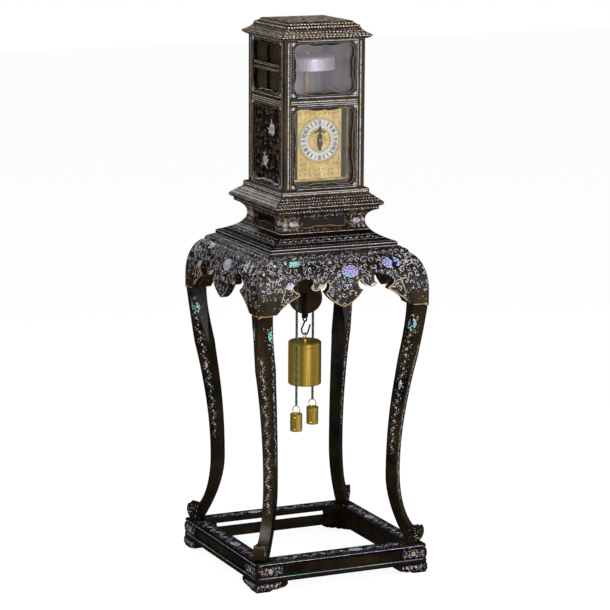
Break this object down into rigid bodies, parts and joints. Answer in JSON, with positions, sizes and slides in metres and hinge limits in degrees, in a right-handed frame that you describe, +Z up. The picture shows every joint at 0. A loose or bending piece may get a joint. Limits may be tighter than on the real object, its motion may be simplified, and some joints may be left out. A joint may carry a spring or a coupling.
{
  "type": "pillar clock",
  "caption": "Square lacquered case on a tall four-legged stand, with dial, bell, two gear trains, rope, pulley and hanging weights.",
  "frame": {"origin": "on the floor, under the middle of the clock", "axes": "+Z up, -Y the dial side, +X to the viewer's right when facing the dial"},
  "size_m": [0.411, 0.411, 1.204],
  "materials": {
    "lacquer": "black-brown lacquer inlaid with mother-of-pearl scroll work",
    "glass": "old clear pane with a light haze",
    "brass": "aged brass, engraved on the dial plate",
    "wheel_brass": "cut and brushed",
    "iron": "blackened forged iron",
    "steel": "polished steel",
    "bell_metal": "silvered bell metal",
    "ring_silver": "silvered chapter ring, matt",
    "hand_iron": "blued iron",
    "dark_wood": "oiled hardwood",
    "rope": "twisted green cord"
  },
  "bodies": {
    "clock": {"bracket_feet": "lacquer", "front_rail": "lacquer", "back_rail": "lacquer", "left_rail": "lacquer", "right_rail": "lacquer", "front_left_leg": "lacquer", "front_right_leg": "lacquer", "back_left_leg": "lacquer", "back_right_leg": "lacquer", "front_apron": "lacquer", "back_apron": "lacquer", "left_apron": "lacquer", "right_apron": "lacquer", "stand_top": "lacquer", "waist_boards": "lacquer", "case_flange": "lacquer", "case_floor": "lacquer", "corner_posts": "lacquer", "mid_rails": "lacquer", "side_window_frames": "lacquer", "side_panels": "lacquer", "cornice": "lacquer", "roof_cap": "lacquer", "side_glass": "glass", "movement_plates": "brass", "movement_pillars": "brass", "train_plates": "brass", "dial_plate": "brass", "bell_post": "brass", "chapter_ring": "ring_silver", "bell": "bell_metal", "sheave_rope": "rope"},
    "upper_door": {"upper_door_frame": "lacquer", "upper_door_glass": "glass"},
    "lower_door": {"lower_door_frame": "lacquer", "lower_door_glass": "glass"},
    "rear_door": {"back_door": "lacquer"},
    "going_great": {"going_great_wheel": "wheel_brass", "going_sheave": "dark_wood"},
    "going_second": {"going_second_wheel": "wheel_brass"},
    "crown": {"crown_wheel": "wheel_brass"},
    "balance": {"verge": "steel", "foliot": "iron"},
    "idler": {"idler_wheel": "wheel_brass"},
    "hour": {"hour_wheel": "wheel_brass", "hour_hand": "hand_iron"},
    "strike_great": {"strike_great_wheel": "wheel_brass", "strike_sheave": "dark_wood"},
    "striking_pins": {"pin_wheel": "wheel_brass"},
    "fly": {"fly": "wheel_brass"},
    "count": {"count_wheel": "wheel_brass"},
    "hammer": {"hammer": "iron"},
    "weight": {"driving_weight": "brass", "pulley_strap": "iron", "fall_rope": "rope"},
    "pulley": {"pulley_wheel": "dark_wood"},
    "front_counter": {"front_counterweight": "brass", "front_tail_rope": "rope"},
    "back_counter": {"back_counterweight": "brass", "back_tail_rope": "rope"}
  },
  "joints": [
    {"name": "weight_drop", "type": "slide", "parent": "clock", "child": "weight", "axis": [0, 0, -1], "range_m": [-0.05, 0.32], "deforming": ["fall_rope"]},
    {"name": "front_counterweight_rise", "type": "slide", "parent": "clock", "child": "front_counter", "axis": [0, 0, 1], "range_m": [-0.05, 0.32], "deforming": ["front_tail_rope"]},
    {"name": "back_counterweight_rise", "type": "slide", "parent": "clock", "child": "back_counter", "axis": [0, 0, 1], "range_m": [-0.05, 0.32], "deforming": ["back_tail_rope"]},
    {"name": "weight_pulley_turn", "type": "hinge", "parent": "weight", "child": "pulley", "pos_m": [0, 0, 0.596], "axis": [0.7071, 0.7071, 0], "continuous": true},
    {"name": "going_great_turn", "type": "hinge", "parent": "clock", "child": "going_great", "pos_m": [0, 0, 0.912], "axis": [0, 1, 0], "range_deg": [-80, 498]},
    {"name": "going_second_turn", "type": "hinge", "parent": "clock", "child": "going_second", "pos_m": [0.01471, 0, 0.95241], "axis": [0, 1, 0], "range_deg": [-4834, 757]},
    {"name": "crown_wheel_turn", "type": "hinge", "parent": "clock", "child": "crown", "pos_m": [0, 0, 0.98306], "axis": [0, 1, 0], "range_deg": [-5664, 36238]},
    {"name": "idler_turn", "type": "hinge", "parent": "clock", "child": "idler", "pos_m": [0.00832, 0, 0.92326], "axis": [0, 1, 0], "range_deg": [-374, 61]},
    {"name": "hour_hand_turn", "type": "hinge", "parent": "clock", "child": "hour", "pos_m": [0, 0, 0.95], "axis": [0, 1, 0], "range_deg": [-26, 151]},
    {"name": "strike_great_turn", "type": "hinge", "parent": "clock", "child": "strike_great", "pos_m": [0, 0, 0.912], "axis": [0, 1, 0], "range_deg": [-498, 80]},
    {"name": "pin_wheel_turn", "type": "hinge", "parent": "clock", "child": "striking_pins", "pos_m": [-0.01471, 0, 0.95241], "axis": [0, 1, 0], "range_deg": [-757, 4834]},
    {"name": "fly_turn", "type": "hinge", "parent": "clock", "child": "fly", "pos_m": [0, 0, 0.98306], "axis": [0, 1, 0], "range_deg": [-36238, 5664]},
    {"name": "count_wheel_turn", "type": "hinge", "parent": "clock", "child": "count", "pos_m": [0, 0, 0.95], "axis": [0, 1, 0], "range_deg": [-28, 168]},
    {"name": "foliot_swing", "type": "hinge", "parent": "clock", "child": "balance", "pos_m": [0, -0.0515, 1], "axis": [0, 0, 1], "range_deg": [-25, 25]},
    {"name": "hammer_lift", "type": "hinge", "parent": "clock", "child": "hammer", "pos_m": [0.04, 0, 0.985], "axis": [0, 1, 0], "range_deg": [0, 4]},
    {"name": "upper_door_swing", "type": "hinge", "parent": "clock", "child": "upper_door", "pos_m": [-0.0757, -0.09, 1.1], "axis": [0, 0, -1], "range_deg": [0, 90]},
    {"name": "lower_door_swing", "type": "hinge", "parent": "clock", "child": "lower_door", "pos_m": [-0.0757, -0.09, 0.95], "axis": [0, 0, -1], "range_deg": [0, 90]},
    {"name": "rear_door_swing", "type": "hinge", "parent": "clock", "child": "rear_door", "pos_m": [0.0757, 0.09, 1], "axis": [0, 0, -1], "range_deg": [0, 90]}
  ],
  "couplings": [
    {"joint": "front_counterweight_rise", "follows": "weight_drop", "ratio": 1},
    {"joint": "back_counterweight_rise", "follows": "weight_drop", "ratio": 1},
    {"joint": "going_great_turn", "follows": "weight_drop", "rad_per_m": 27.027},
    {"joint": "going_second_turn", "follows": "weight_drop", "rad_per_m": -263.51},
    {"joint": "crown_wheel_turn", "follows": "weight_drop", "rad_per_m": 1976.4},
    {"joint": "idler_turn", "follows": "weight_drop", "rad_per_m": -20.27},
    {"joint": "hour_hand_turn", "follows": "weight_drop", "rad_per_m": 8.1081},
    {"joint": "strike_great_turn", "follows": "weight_drop", "rad_per_m": -27.027},
    {"joint": "pin_wheel_turn", "follows": "weight_drop", "rad_per_m": 263.51},
    {"joint": "fly_turn", "follows": "weight_drop", "rad_per_m": -1976.4},
    {"joint": "count_wheel_turn", "follows": "weight_drop", "rad_per_m": 9.009}
  ]
}
